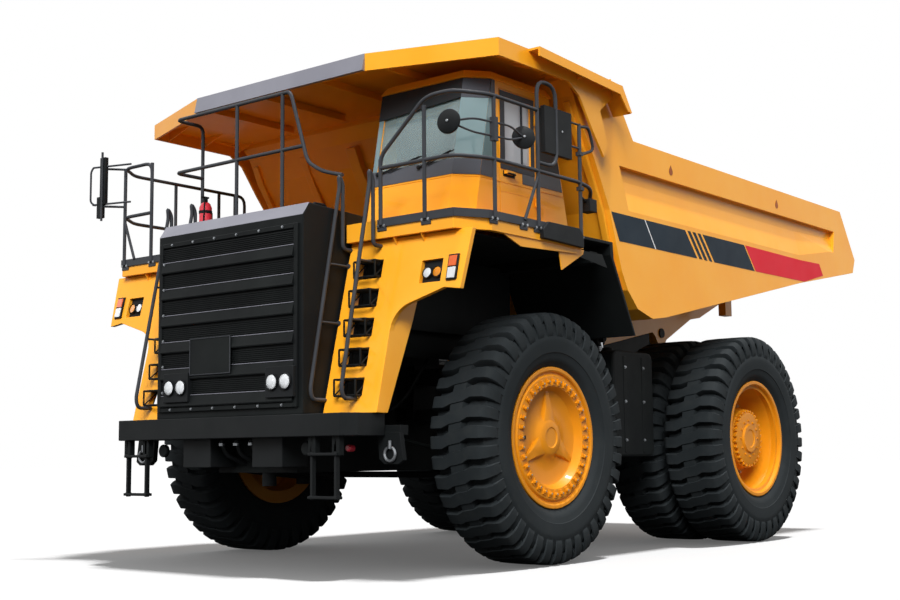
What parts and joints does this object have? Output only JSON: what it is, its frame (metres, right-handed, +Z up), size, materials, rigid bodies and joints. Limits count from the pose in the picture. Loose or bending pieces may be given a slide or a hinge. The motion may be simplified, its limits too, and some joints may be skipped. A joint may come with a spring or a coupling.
{
  "type": "rigid mining dump truck",
  "caption": "Rigid off-road dump truck with a steered front axle, twin rear wheels, a side cab with an opening door and a hoisted rock body.",
  "frame": {"origin": "on the ground under the middle of the truck's outline", "axes": "+Z up, +Y towards the tail, +X towards the truck's left; the front looks along -Y"},
  "size_m": [5.72, 10.488, 5.34],
  "materials": {
    "chassis_black": "satin black paint",
    "machine_yellow": "gloss orange-yellow paint",
    "rail_grey": "satin dark grey paint",
    "glazing": "tinted safety glass",
    "cast_parts": "dark chassis paint on castings and plate",
    "bright_steel": "hard chrome",
    "rim_orange": "satin orange paint",
    "tyre_rubber": "moulded black rubber",
    "seat_cloth": "woven cloth",
    "extinguisher_red": "gloss red paint"
  },
  "bodies": {
    "chassis": {"main_frame": "chassis_black", "power_unit": "cast_parts", "front_bumper": "chassis_black", "radiator_housing": "chassis_black", "engine_hood": "chassis_black", "fender_left": "machine_yellow", "fender_right": "machine_yellow", "ladder_left": "rail_grey", "ladder_right": "rail_grey", "deck_left": "machine_yellow", "deck_right": "machine_yellow", "arch_left": "chassis_black", "arch_right": "chassis_black", "railing_left": "rail_grey", "railing_right": "rail_grey", "tank_left": "cast_parts", "tank_right": "cast_parts", "railing_front": "rail_grey", "cab_shell": "machine_yellow", "cab_roof": "machine_yellow", "windscreen": "glazing", "right_glass": "glazing", "rear_glass": "glazing", "driver_seat": "seat_cloth", "dashboard": "chassis_black", "fire_extinguisher": "extinguisher_red", "rear_axle": "cast_parts"},
    "cab_door": {"cab_door": "machine_yellow", "door_glass": "glazing"},
    "dump_body": {"body_tub": "machine_yellow", "canopy": "machine_yellow", "body_underframe": "machine_yellow"},
    "tie_rod": {"tie_rod": "cast_parts"},
    "knuckle_left": {"knuckle_left": "cast_parts"},
    "front_wheel_left": {"front_rim_left": "rim_orange", "front_tyre_left": "tyre_rubber"},
    "rear_wheels_left": {"rear_rims_left": "rim_orange", "rear_outer_tyre_left": "tyre_rubber", "rear_inner_tyre_left": "tyre_rubber"},
    "hoist_barrel_left": {"hoist_barrel_left": "cast_parts"},
    "hoist_stage_left": {"hoist_stage_left": "bright_steel"},
    "hoist_rod_left": {"hoist_rod_left": "bright_steel"},
    "knuckle_right": {"knuckle_right": "cast_parts"},
    "front_wheel_right": {"front_rim_right": "rim_orange", "front_tyre_right": "tyre_rubber"},
    "rear_wheels_right": {"rear_rims_right": "rim_orange", "rear_outer_tyre_right": "tyre_rubber", "rear_inner_tyre_right": "tyre_rubber"},
    "hoist_barrel_right": {"hoist_barrel_right": "cast_parts"},
    "hoist_stage_right": {"hoist_stage_right": "bright_steel"},
    "hoist_rod_right": {"hoist_rod_right": "bright_steel"}
  },
  "joints": [
    {"name": "steer_left", "type": "hinge", "parent": "chassis", "child": "knuckle_left", "pos_m": [1.3, -2.698, 1.3385], "axis": [0, 0, 1], "range_deg": [-30, 30]},
    {"name": "front_wheel_left", "type": "hinge", "parent": "knuckle_left", "child": "front_wheel_left", "pos_m": [2.105, -2.698, 1.3385], "axis": [1, 0, 0], "continuous": true},
    {"name": "rear_wheels_left", "type": "hinge", "parent": "chassis", "child": "rear_wheels_left", "pos_m": [1.867, 1.709, 1.3385], "axis": [1, 0, 0], "continuous": true},
    {"name": "steer_right", "type": "hinge", "parent": "chassis", "child": "knuckle_right", "pos_m": [-1.3, -2.698, 1.3385], "axis": [0, 0, 1], "range_deg": [-30, 30]},
    {"name": "front_wheel_right", "type": "hinge", "parent": "knuckle_right", "child": "front_wheel_right", "pos_m": [-2.105, -2.698, 1.3385], "axis": [1, 0, 0], "continuous": true},
    {"name": "rear_wheels_right", "type": "hinge", "parent": "chassis", "child": "rear_wheels_right", "pos_m": [-1.867, 1.709, 1.3385], "axis": [1, 0, 0], "continuous": true},
    {"name": "tie_rod", "type": "hinge", "parent": "knuckle_left", "child": "tie_rod", "pos_m": [1.3, -2.178, 0.935], "axis": [0, 0, 1], "range_deg": [-30, 30]},
    {"name": "dump_body", "type": "hinge", "parent": "chassis", "child": "dump_body", "pos_m": [0, 2.752, 2.92], "axis": [-1, 0, 0], "range_deg": [0, 45]},
    {"name": "hoist_barrel_left", "type": "hinge", "parent": "chassis", "child": "hoist_barrel_left", "pos_m": [0.835, 0.902, 1.1], "axis": [-1, 0, 0], "range_deg": [0, 13.2]},
    {"name": "hoist_stage_left", "type": "slide", "parent": "hoist_barrel_left", "child": "hoist_stage_left", "axis": [0, -0.1664, 0.9861], "range_m": [0, 0.78]},
    {"name": "hoist_rod_left", "type": "slide", "parent": "hoist_stage_left", "child": "hoist_rod_left", "axis": [0, -0.1664, 0.9861], "range_m": [0, 0.78]},
    {"name": "hoist_barrel_right", "type": "hinge", "parent": "chassis", "child": "hoist_barrel_right", "pos_m": [-0.835, 0.902, 1.1], "axis": [-1, 0, 0], "range_deg": [0, 13.2]},
    {"name": "hoist_stage_right", "type": "slide", "parent": "hoist_barrel_right", "child": "hoist_stage_right", "axis": [0, -0.1664, 0.9861], "range_m": [0, 0.78]},
    {"name": "hoist_rod_right", "type": "slide", "parent": "hoist_stage_right", "child": "hoist_rod_right", "axis": [0, -0.1664, 0.9861], "range_m": [0, 0.78]},
    {"name": "cab_door", "type": "hinge", "parent": "chassis", "child": "cab_door", "pos_m": [2.39, -2.928, 4.2], "axis": [0, 0, 1], "range_deg": [0, 32]}
  ],
  "couplings": [
    {"joint": "steer_right", "follows": "steer_left", "ratio": 1},
    {"joint": "tie_rod", "follows": "steer_left", "ratio": -1},
    {"joint": "hoist_barrel_left", "follows": "dump_body", "ratio": 0.29139},
    {"joint": "hoist_stage_left", "follows": "dump_body", "m_per_rad": 0.98479},
    {"joint": "hoist_rod_left", "follows": "dump_body", "m_per_rad": 0.98479},
    {"joint": "hoist_barrel_right", "follows": "dump_body", "ratio": 0.29139},
    {"joint": "hoist_stage_right", "follows": "dump_body", "m_per_rad": 0.98479},
    {"joint": "hoist_rod_right", "follows": "dump_body", "m_per_rad": 0.98479}
  ]
}
